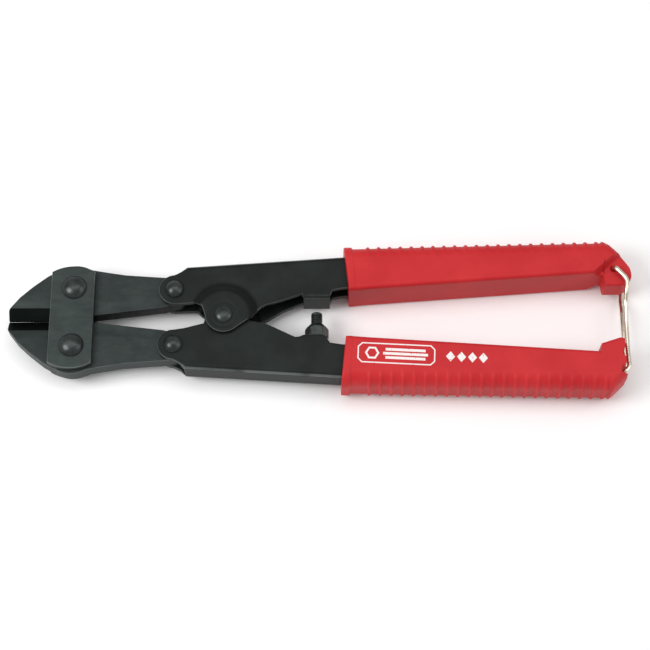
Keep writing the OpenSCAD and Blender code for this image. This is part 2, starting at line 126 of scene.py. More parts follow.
class Finish:
    # one material, built round its Principled shader
    def __init__(self, name, **constants):
        self.material = bpy.data.materials.new(name)
        self.material.use_nodes = True
        self.nodes, self.links = self.material.node_tree.nodes, self.material.node_tree.links
        self.shader = self.nodes["Principled BSDF"]
        for socket, value in constants.items():
            self.shader.inputs[socket.replace("_", " ")].default_value = value
        place = self.node("ShaderNodeTexCoord", {}, {}, out="Object")
        self.place = place
        split = self.node("ShaderNodeSeparateXYZ", {}, {"Vector": place}, out=None)
        self.x, self.y, self.z = (Num(self, split.outputs[i]) / mm for i in range(3))   # in mm

    def node(self, kind, settings, sockets, out=0):
        made = self.nodes.new(kind)
        for key, value in settings.items():
            if key == "stops":
                while len(made.color_ramp.elements) < len(value):
                    made.color_ramp.elements.new(0.5)
                for stop, (at, colour) in zip(made.color_ramp.elements, value):
                    stop.position, stop.color = at, colour
            else:
                setattr(made, key, value)
        for key, value in sockets.items():
            if isinstance(value, Num):
                self.links.new(value.socket, made.inputs[key])
            else:
                made.inputs[key].default_value = value
        return made if out is None else Num(self, made.outputs[out])

    def noise(self, scale, detail=3.0, roughness=0.5, stretch=(1, 1, 1)):
        # noise from 0 to 1 over the object, scale in patches a metre
        moved = self.node("ShaderNodeMapping", {}, {"Vector": self.place, "Scale": stretch})
        return self.node("ShaderNodeTexNoise", {}, {"Vector": moved, "Scale": scale, "Detail": detail,
                                                    "Roughness": roughness})

    def blend(self, factor, first, second):
        # colours mixed by a factor
        return self.node("ShaderNodeMix", {"data_type": "RGBA"}, {0: factor, 6: first, 7: second}, out=2)

    def distance(self, x, y):
        dx, dy = self.x - x, self.y - y
        return (dx * dx + dy * dy).root()

    def edges(self, radius):
        # 1 along worn edges, 0 on open faces: how far a rounded normal turns from the true one
        round = self.node("ShaderNodeBevel", {"samples": 6}, {"Radius": radius * mm})
        true = self.node("ShaderNodeNewGeometry", {}, {}, out="Normal")
        turned = self.node("ShaderNodeVectorMath", {"operation": "DOT_PRODUCT"}, {0: round, 1: true}, out="Value")
        return (1 - turned).ramp(0.02, 0.22)

    def rims(self):
        # 1 on the curved rims of a plate, 0 on its flat faces and its upright walls
        normal = self.node("ShaderNodeNewGeometry", {}, {}, out="Normal")
        split = self.node("ShaderNodeSeparateXYZ", {}, {"Vector": normal}, out=None)
        up = abs(Num(self, split.outputs[2]))
        return up.below(0.82, 0.08) * up.above(0.25, 0.1)

    def set(self, colour=None, roughness=None, metallic=None, bump=None, bumpHeight=0.05, bumpStrength=1.0):
        if colour is not None:
            self.links.new(colour.socket, self.shader.inputs["Base Color"])
        if roughness is not None:
            self.links.new(roughness.socket, self.shader.inputs["Roughness"])
        if metallic is not None:
            self.links.new(metallic.socket, self.shader.inputs["Metallic"])
        if bump is not None:
            normal = self.node("ShaderNodeBump", {}, {"Height": bump, "Strength": bumpStrength,
                                                      "Distance": bumpHeight * mm})
            self.links.new(normal.socket, self.shader.inputs["Normal"])
        return self.material


oxideLook = {"deep": (0.016, 0.021, 0.020), "pale": (0.052, 0.066, 0.062), "wornAndHighlight": (0.24, 0.265, 0.258)}


def shade(colour, lift=1.0):
    return tuple(c * lift for c in colour) + (1,)


def oxideSteel(name, lift=1.0, groundAndShadedBevels=False):
    # black oxide over a rolled or forged surface: cloudy tone, fine pits, pale worn edges, a painted highlight on the
    # curved rims, and on ground bevels painted shade
    f = Finish(name, Metallic=0.55, Specular_IOR_Level=0.25)
    cloud = f.noise(150, 4, 0.6)
    pits = f.noise(1700, 3, 0.7)
    scuff = f.noise(420, 5, 0.75, stretch=(0.4, 1.5, 1))
    colour = f.blend((cloud * 0.6 + scuff * 0.5 - 0.05).ramp(0.2, 0.85),
                     shade(oxideLook["deep"], lift * 1.5), shade(oxideLook["pale"], lift))
    # pale worn edges, and a painted highlight along the curved rims
    wearAndHighlight = (f.edges(0.4) * scuff.ramp(0.25, 0.6)).max(f.rims() * cloud.ramp(0.2, 0.6) * 0.8)
    scratch = f.noise(900, 2, 0.5, stretch=(0.06, 1.5, 1)).ramp(0.70, 0.78) * cloud.ramp(0.45, 0.7)
    colour = f.blend((wearAndHighlight * 0.7).max(scratch * 0.12), colour, shade(oxideLook["wornAndHighlight"]))
    rough = 0.38 + cloud * 0.14 + pits * 0.08 - wearAndHighlight * 0.12
    relief = pits * 0.5 + cloud * 0.35 + scuff * 0.25
    if groundAndShadedBevels:
        # fine grinding lines run down each bevel to the edge
        bevel = abs(f.z - pivot[2]).below(jawHalf - 0.12, 0.06) * abs(f.y).below(5.2, 0.5)
        lines = f.noise(2600, 2, 0.5, stretch=(1, 0.05, 0.05))
        # the bevels are painted near black as shade
        colour = f.blend(bevel * 0.95, colour, (0.004, 0.0055, 0.005, 1))
        rough = rough * (1 - bevel) + bevel * (0.4 + lines * 0.2)
        relief = relief * (1 - bevel) + bevel * lines * 0.5
        return f.set(colour, rough, 0.55 + bevel * 0.45, relief, 0.03)
    return f.set(colour, rough, None, relief, 0.03)


def armSteel(name):
    # the folded arms: darker and smoother, with a faint pressed ring round the pivot
    f = Finish(name, Metallic=0.5, Specular_IOR_Level=0.2)
    cloud = f.noise(90, 4, 0.55)
    grain = f.noise(1900, 3, 0.65)
    scuff = f.noise(380, 5, 0.75, stretch=(0.3, 1.7, 1))
    colour = f.blend(cloud.ramp(0.25, 0.8), (0.010, 0.0125, 0.0118, 1), (0.019, 0.023, 0.0218, 1))
    away = f.distance(pivot[0], pivot[1])
    # painted shade darkens the ramp round the raised disc
    ramp = away.above(8.3, 0.5) * away.below(12.2, 0.7) * abs(f.z - pivot[2]).above(4.85, 0.1)
    # pale worn edges, and a painted highlight along the curved rims, none on the ramp
    wearAndHighlight = (f.edges(0.45) * scuff.ramp(0.22, 0.55)).max(f.rims() * cloud.ramp(0.15, 0.55) * 0.8) * (1 - ramp)
    # the ramp is painted darker as shade
    colour = f.blend(ramp * 0.55, colour, (0.005, 0.0065, 0.006, 1))
    colour = f.blend(wearAndHighlight * 0.75, colour, shade(oxideLook["wornAndHighlight"], 0.9))
    groove = (1 - (abs(away - 4.4) / 0.7).min(1.0)) * abs(f.z - pivot[2]).above(6.3, 0.1)
    mark = (1 - (abs(f.x - pivot[0] - 12.3) / 0.35).min(1.0)) * abs(abs(f.y) - 17.6).below(1.0, 0.3)
    rough = 0.36 + cloud * 0.12 + grain * 0.07 - wearAndHighlight * 0.1
    relief = grain * 0.25 + cloud * 0.2 + scuff * 0.12 - groove * 2.0 + mark * 2.2
    return f.set(colour, rough, None, relief, 0.03)


def rivetSteel(name):
    # turned and peened heads, glossier than the plates
    f = Finish(name, Metallic=0.6, IOR=1.6)
    cloud = f.noise(260, 4, 0.6)
    grain = f.noise(2400, 3, 0.6)
    wearAndHighlight = f.edges(0.3) * cloud.ramp(0.35, 0.6)
    colour = f.blend(cloud.ramp(0.3, 0.8), (0.02, 0.026, 0.025, 1), (0.05, 0.062, 0.059, 1))
    colour = f.blend(wearAndHighlight * 0.5, colour, shade(oxideLook["wornAndHighlight"]))
    return f.set(colour, 0.2 + cloud * 0.14 + grain * 0.06, None, grain * 0.4 + cloud * 0.8, 0.03)


def platedWire(name):
    # bright zinc plating, slightly warm, with drawing lines along the wire
    f = Finish(name, Metallic=1.0)
    cloud = f.noise(300, 4, 0.6)
    drawn = f.noise(2600, 2, 0.5, stretch=(1, 0.08, 1))
    colour = f.blend(cloud.ramp(0.3, 0.75), (0.66, 0.58, 0.46, 1), (0.83, 0.78, 0.68, 1))
    dull = f.noise(90, 3, 0.6).ramp(0.55, 0.8)
    colour = f.blend(dull * 0.5, colour, (0.4, 0.37, 0.31, 1))
    return f.set(colour, 0.2 + cloud * 0.12 + dull * 0.12, None, drawn * 0.5 + cloud * 0.4, 0.02)


markLook = {"centre": (24.8, -15.0), "size": (12.6, 3.35), "line": 0.42, "lean": -3.2, "tail": (48.0, -16.3)}


def grippyRed(name, printed=False):
    # soft moulded plastic: fine spark-eroded grain, slight mottling and darker swirls
    f = Finish(name, Specular_IOR_Level=0.3)
    cloud = f.noise(70, 3, 0.55)
    grain = f.noise(2800, 2, 0.6)
    swirl = f.noise(500, 4, 0.6)
    colour = f.blend(cloud.ramp(0.3, 0.75), (0.49, 0.011, 0.015, 1), (0.56, 0.019, 0.023, 1))
    colour = f.blend(swirl.ramp(0.55, 0.9) * 0.25, colour, (0.38, 0.012, 0.016, 1))
    rough = 0.42 + grain * 0.12 + cloud * 0.06
    relief = grain * 0.7 + swirl * 0.3
    if printed:
        ink = printMask(f) * f.noise(1300, 3, 0.6).ramp(0.3, 0.4) * f.z.above(2 * pivot[2] - 1.6, 0.1)
        colour = f.blend(ink * 0.92, colour, (0.86, 0.85, 0.83, 1))
        rough = rough - ink * 0.08
        relief = relief + ink * 0.6
    return f.set(colour, rough, None, relief, 0.03)


def printMask(f):
    # a plain printed device: a frame with a hexagon and two bars in it, and three dashes beside it
    lean = np.radians(markLook["lean"])
    cosine, sine = float(np.cos(lean)), float(np.sin(lean))

    def local(at):
        dx, dy = f.x - at[0], f.y - at[1]
        return dx * cosine + dy * sine, dy * cosine - dx * sine

    def stroke(away, width):
        return abs(away).below(width / 2, 0.06)

    u, v = local(markLook["centre"])
    halfLong, halfWide = markLook["size"]
    line = markLook["line"]
    corner = (abs(u) + abs(v) - halfLong - halfWide + 1.3) * 0.707
    inside = (abs(u) - halfLong).max(abs(v) - halfWide).max(corner)
    ink = stroke(inside, line)
    hexagon = (abs(u + 8.0) * 0.866 + abs(v) * 0.5).max(abs(v)) - 1.75
    ink = ink.max(stroke(hexagon, line * 1.5))
    for height, reach in ((-1.45, 6.6), (0.0, 7.4), (1.45, 6.6)):
        bar = (abs(u - 3.0) - reach).max(abs(v - height) - 0.46)
        ink = ink.max(bar.below(0.0, 0.06))
    u, v = local(markLook["tail"])
    for step in (-5.4, -1.8, 1.8, 5.4):
        diamond = abs(u - step) * 0.9 + abs(v) * 0.75 - 1.35
        ink = ink.max(diamond.below(0.0, 0.06))
    return ink


def meshObject(name, points, faces, material, sharp=35):
    mesh = bpy.data.meshes.new(name)
    mesh.from_pydata(points.reshape(-1, 3) * mm, [], faces.tolist() if isinstance(faces, np.ndarray) else faces)
    work = bmesh.new()
    work.from_mesh(mesh)
    bmesh.ops.remove_doubles(work, verts=work.verts, dist=1e-7)
    bmesh.ops.dissolve_degenerate(work, edges=work.edges, dist=1e-8)
    bmesh.ops.recalc_face_normals(work, faces=work.faces)
    work.to_mesh(mesh)
    work.free()
    mesh.polygons.foreach_set("use_smooth", np.ones(len(mesh.polygons), bool))
    mesh.set_sharp_from_angle(angle=np.radians(sharp))
    mesh.materials.append(material)
    obj = bpy.data.objects.new(name, mesh)
    bpy.context.scene.collection.objects.link(obj)
    return obj


def gridFaces(rows, columns, start=0, wrapRows=False, wrapColumns=False):
    # quads between neighbouring points of a grid stored row after row
    r = np.arange(rows if wrapRows else rows - 1)[:, None]
    c = np.arange(columns if wrapColumns else columns - 1)[None, :]
    r2, c2 = (r + 1) % rows, (c + 1) % columns
    quads = np.stack([r * columns + c, r * columns + c2, r2 * columns + c2, r2 * columns + c], -1)
    return quads.reshape(-1, 4) + start


def lathe(profile, place, turns=96):
    # a profile of (radius, height) points turned about a line along Z through place
    angle = np.linspace(0, 2 * np.pi, turns, endpoint=False)[:, None]
    radius, height = np.array(profile, float).T
    x, y = radius * np.cos(angle), radius * np.sin(angle)
    points = np.stack([x, y, np.broadcast_to(height, x.shape)], -1) + np.asarray(place)
    return points, gridFaces(turns, len(profile), wrapRows=True)


def tube(path, radius, sides):
    # a circle carried along a path, kept from twisting by handing its frame on from point to point
    path = np.asarray(path, float)
    along = np.gradient(path, axis=0)
    along /= np.linalg.norm(along, axis=1, keepdims=True)
    side = np.cross(along[0], (0.3, 0.2, 0.9))
    sides1 = []
    for direction in along:
        side = side - direction * side.dot(direction)
        side = side / np.linalg.norm(side)
        sides1.append(side)
    first = np.array(sides1)
    second = np.cross(along, first)
    angle = np.linspace(0, 2 * np.pi, sides, endpoint=False)[None, :, None]
    radius = np.broadcast_to(np.asarray(radius, float), len(path))[:, None, None]
    points = path[:, None] + radius * (np.cos(angle) * first[:, None] + np.sin(angle) * second[:, None])
    faces = [list(q) for q in gridFaces(len(path), sides, wrapColumns=True)]
    faces += [list(range(sides)), list(range(points.shape[0] * sides - sides, points.shape[0] * sides))]
    return points, faces


def roundedPath(corners, bend, steps=8):
    # straight runs joined by curves that begin and end a set distance from each corner
    corners = np.asarray(corners, float)
    here, before, after = corners[1:-1], corners[:-2], corners[2:]
    into = (before - here) / np.linalg.norm(before - here, axis=1, keepdims=True)
    out = (after - here) / np.linalg.norm(after - here, axis=1, keepdims=True)
    t = np.linspace(0, 1, steps)[None, :, None]
    a, b = here + into * bend, here + out * bend
    curve = a[:, None] * (1 - t) ** 2 + here[:, None] * 2 * t * (1 - t) + b[:, None] * t ** 2
    return np.vstack([corners[:1], curve.reshape(-1, 3), corners[-1:]])


def finishPiece(obj, body, slot, *nodes):
    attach(obj, body)
    if nodes:
        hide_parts(*nodes)
    return obj


def softened(node, body, slot, material, width, fold=0, merge=True):
    # A merged copy of a plate with its sharp edges rounded. Where fold is given, the two long edges
    # of its back are rounded by that much, as folded sheet is.
    mesh = frame["nodes"][node].data.copy()
    for name in ("custom_normal", "sharp_face", "sharp_edge"):
        if name in mesh.attributes:
            mesh.attributes.remove(mesh.attributes[name])
    work = bmesh.new()
    work.from_mesh(mesh)
    bmesh.ops.remove_doubles(work, verts=work.verts, dist=2e-6)
    if merge:
        bmesh.ops.dissolve_limit(work, angle_limit=np.radians(1.0), verts=work.verts, edges=work.edges)
    weight = work.edges.layers.float.new("bevel_weight_edge")
    largest = max(width, fold)
    for edge in work.edges:
        if edge.calc_face_angle(0) < np.radians(32):
            continue
        a, b = (np.array(v.co) / mm for v in edge.verts)
        back = fold and min(abs(a[1]), abs(b[1])) > 18 and np.linalg.norm(a - b) > 10
        edge[weight] = (fold if back else width) / largest
    work.to_mesh(mesh)
    work.free()
    mesh.polygons.foreach_set("use_smooth", np.ones(len(mesh.polygons), bool))
    mesh.materials.clear()
    mesh.materials.append(material)
    obj = bpy.data.objects.new(node + "_softened", mesh)
    bpy.context.scene.collection.objects.link(obj)
    bevel = obj.modifiers.new("broken edges", "BEVEL")
    bevel.width, bevel.segments, bevel.limit_method = largest * mm, 4 if fold else 3, "WEIGHT"
    bevel.use_clamp_overlap = False
    bevel.harden_normals = True
    return finishPiece(obj, body, slot, node)


def plateLoops(node, lowest, sign=1):
    # Closed outlines in mm round a node's upward faces above a height, each with the metal on its
    # left. With sign -1 they are those of its downward faces, as far below the middle.
    work = bmesh.new()
    work.from_mesh(frame["nodes"][node].data)
    bmesh.ops.remove_doubles(work, verts=work.verts, dist=2e-6)
    skin = {f for f in work.faces if f.normal.z * sign > 0.3 and f.calc_center_median().z / mm * sign > lowest}
    after = {}
    for face in skin:
        for corner in face.loops:
            if not any(other in skin and other is not face for other in corner.edge.link_faces):
                after[corner.vert] = corner.link_loop_next.vert
    loops = []
    while after:
        start, here = next(iter(after.items()))
        del after[start]
        chain = [start]
        while here is not start:
            chain.append(here)
            here = after.pop(here)
        loops.append(np.array([v.co.xy for v in chain])[::sign] / mm)
    work.free()
    return loops


def evenly(loop, step):
    # more points along the long sides of a closed outline
    ahead = np.roll(loop, -1, 0)
    counts = np.maximum(np.ceil(np.linalg.norm(ahead - loop, axis=1) / step), 1).astype(int)
    return np.vstack([a + (b - a) * np.arange(n)[:, None] / n for a, b, n in zip(loop, ahead, counts)])


def inwards(loop):
    # each point's direction into the metal, longer at corners so that the sides stay parallel
    side = np.roll(loop, -1, 0) - loop
    normal = np.stack([-side[:, 1], side[:, 0]], -1) / np.linalg.norm(side, axis=1, keepdims=True)
    both = normal + np.roll(normal, 1, 0)
    both /= np.maximum(np.linalg.norm(both, axis=1, keepdims=True), 1e-6)
    return both / np.maximum((both * normal).sum(1, keepdims=True), 0.6)


def insideLoops(points, loops):
    # even-odd rule: a point is inside when a line to the right crosses the outlines an odd number of times
    inside = np.zeros(len(points), bool)
    for loop in loops:
        a, b = loop, np.roll(loop, -1, 0)
        spans = (a[None, :, 1] > points[:, None, 1]) != (b[None, :, 1] > points[:, None, 1])
        rise = np.where(np.abs(b[:, 1] - a[:, 1]) < 1e-9, 1e-9, b[:, 1] - a[:, 1])
        cross = a[:, 0] + (points[:, None, 1] - a[:, 1]) / rise * (b[:, 0] - a[:, 0])
        inside ^= ((spans & (cross > points[:, None, 0])).sum(1) % 2).astype(bool)
    return inside


def capFaces(loops, extra):
    # triangles that fill the outlines, through the extra points, leaving the holes open
    points = np.vstack([*loops, extra])
    edges, start = [], 0
    for loop in loops:
        edges += [(start + i, start + (i + 1) % len(loop)) for i in range(len(loop))]
        start += len(loop)
    found = geometry.delaunay_2d_cdt([Vector(p) for p in points], edges, [], 0, 1e-6, False)
    corners = np.array([tuple(v) for v in found[0]])
    faces = np.array(found[2])
    return corners, faces[insideLoops(corners[faces].mean(1), loops)]


def pressedPlate(loops, low, high, rims, lift, extra):
    # Each outline is carried up its wall and over a quarter-round rim on both faces, and the faces
    # between are filled. rims gives each point's upper and lower radius, and lift raises both faces.
    turn = np.linspace(0, np.pi / 2, 5)
    points, faces, start, caps = [], [], 0, {1: [], -1: []}
    for loop in loops:
        direction = inwards(loop)
        upper, lower = rims(loop)
        rows = []
        for sign, rim, level in ((-1, lower, low), (1, upper, high)):
            arc = [(rim * (1 - np.cos(a)), level - sign * rim * (1 - np.sin(a))) for a in turn]
            arc.append((rim + 0.12, level + 0 * rim))
            for inset, z in (arc if sign > 0 else arc[::-1]):
                xy = loop + direction * inset[:, None]
                rows.append(np.column_stack([xy, z + lift(xy[:, 0], xy[:, 1])]))
        caps[-1].append(rows[0][:, :2])
        caps[1].append(rows[-1][:, :2])
        points.append(np.vstack(rows))
        faces.append(gridFaces(len(rows), len(loop), start, wrapColumns=True))
        start += len(rows) * len(loop)
    faces = [f for group in faces for f in group.tolist()]
    for sign, level in ((-1, low), (1, high)):
        corners, fill = capFaces(caps[sign], extra)
        points.append(np.column_stack([corners, level + lift(corners[:, 0], corners[:, 1])]))
        faces += (fill + start).tolist()
        start += len(corners)
    return np.vstack(points), faces


strapShape = {"rim": 0.5, "hole": 0.12}


def makeStrap(node, material):
    # a flat bar with two holes, its rims rounded on both faces
    low, high = boxMm(node)
    outer = max((high - low)[:2])

    def rims(loop):
        size = np.ptp(loop, axis=0).max()
        rim = np.full(len(loop), strapShape["rim"] if size > outer * 0.8 else strapShape["hole"])
        return rim, rim

    loops = [evenly(loop, 1.5) for loop in plateLoops(node, high[2] - 0.1)]
    flat = np.empty((0, 2))
    points, faces = pressedPlate(loops, low[2], high[2], rims, lambda x, y: 0 * x, flat)
    finishPiece(meshObject(node + "_stamped", points, faces, material), "head_plates", "plate_steel", node)


armShape = {
    "sheet": 1.8, "low": 2.9, "rim": 0.42, "hole": 0.12, "fold": 1.5, "rise": 1.9, "raised": 8.3, "ramp": 12.4,
    "backFrom": 18.35, "step": 0.7,
}


def makeArm(node, body, raised, material):
    # Two plates joined by a folded back. On the upper arm a disc about the pivot is pressed outwards
    # on both plates, with a smooth ramp round it.
    g = armShape
    bottom, top = g["low"], g["low"] + g["sheet"]
    steps = np.arange(-14, 14.1, 0.6)
    grid = np.stack(np.meshgrid(steps, steps), -1).reshape(-1, 2)
    grid = grid + 0.12 * np.sin(grid[:, ::-1] * 7.0)

    def lift(x, y):
        away = np.hypot(x, y)
        return raised * g["rise"] * (1 - eased(away, g["raised"], g["ramp"]))

    def rims(loop):
        plain = np.full(len(loop), g["rim"] if np.ptp(loop, axis=0).max() > 20 else g["hole"])
        share = eased(np.abs(loop[:, 1]), g["backFrom"] - 1.9, g["backFrom"])
        return plain + (g["fold"] - plain) * share, plain * (1 - share)

    def plate(sign):
        found = plateLoops(node, (pivot[2] + sign * (bottom + 0.2)) * sign, sign)
        loops = [evenly(loop, g["step"]) - pivot[:2] for loop in found]
        away = np.min([np.linalg.norm(grid[:, None] - loop[None], axis=2).min(1) for loop in loops], axis=0)
        inner = grid[insideLoops(grid, loops) & (away > 0.85)]
        points, faces = pressedPlate(loops, bottom, top, rims, lift, inner)
        return points * (1, 1, sign), faces, loops

    front, frontFaces, loops = plate(1)
    back, backFaces, _ = plate(-1)
    # the folded back, between the plates
    outline = max(loops, key=len)
    edge = outline[np.abs(outline[:, 1]) > g["backFrom"]]
    edge = edge[np.argsort(edge[:, 0])]
    side = np.sign(edge[0, 1])
    start, end = edge[0], edge[-1]
    knee = edge[np.argmin(np.abs(edge[:, 0] - boxMm("upper_grip")[0][0] + pivot[0]))]
    line = np.array([start, knee, (end[0], np.abs(edge[:, 1]).max() * side)])
    thick = np.array([0, side * g["sheet"]])
    section = np.stack([line, line - thick], 1)
    levels = np.array([-bottom, bottom])
    web = np.concatenate([np.repeat(section, 2, 1), np.tile(levels, (3, 2))[..., None]], -1)
    web = web[:, [0, 1, 3, 2]]
    rows = [list(q) for q in gridFaces(3, 4, wrapColumns=True)] + [[0, 1, 2, 3], [8, 9, 10, 11]]
    points, every, base = [], [], 0
    for part, polys in ((front, frontFaces), (back, backFaces), (web.reshape(-1, 3), rows)):
        points.append(part)
        every += [[i + base for i in poly] for poly in polys]
        base += len(part)
    obj = meshObject(node + "_folded", np.vstack(points) + pivot, every, material)
    finishPiece(obj, body, "arm_steel", node)


rivetShapes = {
    "upper_jaw_rivet": {"body": "head_plates", "seat": "front_side_plate", "shank": 3.1, "crown": 2.3},
    "lower_jaw_rivet": {"body": "head_plates", "seat": "front_side_plate", "shank": 3.1, "crown": 2.3},
    "upper_link_rivet": {"body": "upper_handle", "seat": "lower_arm", "shank": 2.3, "crown": 2.1},
    "lower_link_rivet": {"body": "lower_handle", "seat": "lower_arm", "shank": 2.3, "crown": 2.1},
    "centre_rivet": {"body": "upper_handle", "seat": "upper_arm", "shank": 2.0, "crown": 2.6},
}


def rivetHalf(shape, headR, seat, top):
    # the crown falls from its middle to a low rim as one less a power of the radius
    r = np.sin(np.linspace(0, np.pi / 2, 22))
    rim = seat + 0.3
    height = rim + (top - rim) * (1 - r ** shape["crown"]) ** 0.75
    crown = list(zip(headR * r, height))
    return crown + [(headR, seat + 0.1), (headR - 0.1, seat), (shape["shank"], seat)]


def makeRivet(node, material):
    shape = rivetShapes[node]
    low, high = boxMm(node)
    centre = (low + high) / 2
    headR = (high[0] - low[0]) / 2
    seat = boxMm(shape["seat"])[1][2] - centre[2]
    upper = rivetHalf(shape, headR, seat, high[2] - centre[2])
    lower = [(r, -z) for r, z in reversed(upper)]
    points, faces = lathe(upper + lower, centre)
    obj = meshObject(node + "_peened", points, faces, material, sharp=50)
    return finishPiece(obj, shape["body"], "rivet_steel", node)


screwShape = {"pitch": 0.7, "depth": 0.42, "tip": 0.9, "turns": 72, "perPitch": 12}


def makeStopScrew(material):
    # thread: the radius falls and rises once a pitch along the screw, and one pitch later each turn
    low, high = boxMm("stop_screw")
    radius = (high[0] - low[0]) / 2
    length = high[1] - low[1]
    steps = int(length / screwShape["pitch"] * screwShape["perPitch"])
    y = np.linspace(0, length, steps)[:, None]
    angle = np.linspace(0, 2 * np.pi, screwShape["turns"], endpoint=False)[None, :]
    phase = (y / screwShape["pitch"] + angle / (2 * np.pi)) % 1.0
    groove = np.clip(1.25 - np.abs(phase - 0.5) * 2.9, 0, 1)
    plain = np.clip((length - y - 0.5) / 1.0, 0, 1) * np.clip(y / 0.8, 0, 1)
    r = radius - screwShape["depth"] * groove * plain
    rounding = screwShape["tip"]
    near = np.clip(rounding - (length - y), 0, rounding)
    r = r - (rounding - np.sqrt(rounding ** 2 - near ** 2))
    foot = np.clip(0.4 - y, 0, 0.4)
    r = r - foot
    centre = (low + high) / 2
    x, z = r * np.cos(angle), r * np.sin(angle)
    points = np.stack([x + centre[0], np.broadcast_to(y + low[1], x.shape), z + centre[2]], -1)
    columns = points.shape[1]
    faces = [list(q) for q in gridFaces(steps, columns, wrapColumns=True)]
    faces += [list(range(columns)), list(range((steps - 1) * columns, steps * columns))]
    obj = meshObject("stop_screw_threaded", points, faces, material, sharp=60)
    return finishPiece(obj, "stop_screw", "screw_steel", "stop_screw")


gripShape = {
    "ribHeight": 0.6, "ribHalf": 0.8, "ribPitch": 3.7, "firstRib": 8.2, "collar": 2.8, "slant": 1.7,
    "outerRound": 5.0, "innerRound": 1.3, "waist": 0.15, "outFront": 25.2, "outRear": 27.1,
    "inFront": 8.2, "inRear": 14.2, "endHalf": 4.6, "half": 8.2,
}


def between(x, xs, ys):
    return np.interp(x, xs, ys)


def eased(x, low, high):
    t = np.clip((x - low) / (high - low), 0, 1)
    return t * t * (3 - 2 * t)


def edgeDrop(away, radius):
    # how far a rounded edge has fallen at a distance in from the side
    inner = radius - np.minimum(np.maximum(away, 0), radius)
    return radius - np.sqrt(np.maximum(radius ** 2 - inner ** 2, 0))


def gripSkin(name, side, shape, material):
    # For each station along the grip the shape gives the outer and inner sides. Points are spread
    # between the sides, and their height is the flat face's less the drop of each rounded edge.
    g = gripShape
    front, rear = shape["front"], shape["rear"]
    tight = 1 - np.cos(np.linspace(0, np.pi / 2, 9))
    x = np.unique(np.concatenate([front + tight, np.arange(front + 1.2, rear - 1.7, 0.23), rear - 1.5 * tight]))
    x = x[:, None]
    t = np.linspace(0, 1, 71)[None, :]
    share = t - 0.1 * np.sin(2 * np.pi * t)
    fromFront = x - front
    fromRib = x - shape["firstRib"]
    rib = (fromRib + g["ribPitch"] / 2) % g["ribPitch"] - g["ribPitch"] / 2
    ribOn = (fromRib > -1.8) & (x < shape["ribEnd"])
    bump = (1 - eased(np.abs(rib), g["ribHalf"] * 0.25, g["ribHalf"])) * ribOn
    collarOn = 1 - eased(fromFront, g["collar"] - 0.3, g["collar"] + 0.2)
    tailOn = eased(x, shape["ribEnd"], shape["ribEnd"] + 1.0)
    proud = np.maximum(np.maximum(bump, collarOn), tailOn)
    outer = shape["outer"](x) - g["ribHeight"] * (1 - proud)
    inner = np.minimum(shape["inner"](x), outer - 1e-4)
    y = inner + (outer - inner) * share
    half = g["half"] - g["waist"] * (1 - collarOn * 0.999)
    height = half - edgeDrop(outer - y, g["outerRound"]) - edgeDrop(y - inner, g["innerRound"])
    cap = shape["cap"](x, y) - edgeDrop(outer - y, 1.0) - edgeDrop(y - inner, 0.8) - edgeDrop(rear - x, 0.6)
    height = np.minimum(height, cap) - edgeDrop(fromFront, 0.6) - shape["hole"](x, y)
    height = np.maximum(height, 0.4)
    # the front slants across the grip, and the rear follows its own outline
    slant = g["slant"] * np.clip(1 - fromFront / 9, 0, 1)
    placed = x + slant * np.clip((g["outFront"] - y) / (g["outFront"] - g["inFront"]), 0, 1)
    placed = placed + eased(x, rear - 2.5, rear) * (shape["rearFace"](y) - rear)
    levels = np.linspace(1, -1, 15)

    def sheet(xs, ys, zs):
        return np.stack([xs, ys * side, zs + pivot[2]], -1)

    def wall(column):
        # the upright side between the two faces' edges
        return sheet(*(np.repeat(v[:, column, None], 13, 1) for v in (placed, y)),
                     height[:, column, None] * levels[None, 1:-1])

    ring = np.concatenate([sheet(placed, y, height), wall(-1), sheet(placed, y, -height)[:, ::-1],
                           wall(0)[:, ::-1]], 1)
    rows, columns = ring.shape[:2]
    points, faces, start = [ring.reshape(-1, 3)], [gridFaces(rows, columns, wrapColumns=True)], rows * columns
    for row in (0, -1):
        end = sheet(np.repeat(placed[None, row], 15, 0), np.repeat(y[None, row], 15, 0),
                    levels[:, None] * height[None, row])
        points.append(end.reshape(-1, 3))
        faces.append(gridFaces(*end.shape[:2], start))
        start += end.shape[0] * end.shape[1]
    return meshObject(name, np.vstack(points), np.vstack(faces), material, sharp=58)


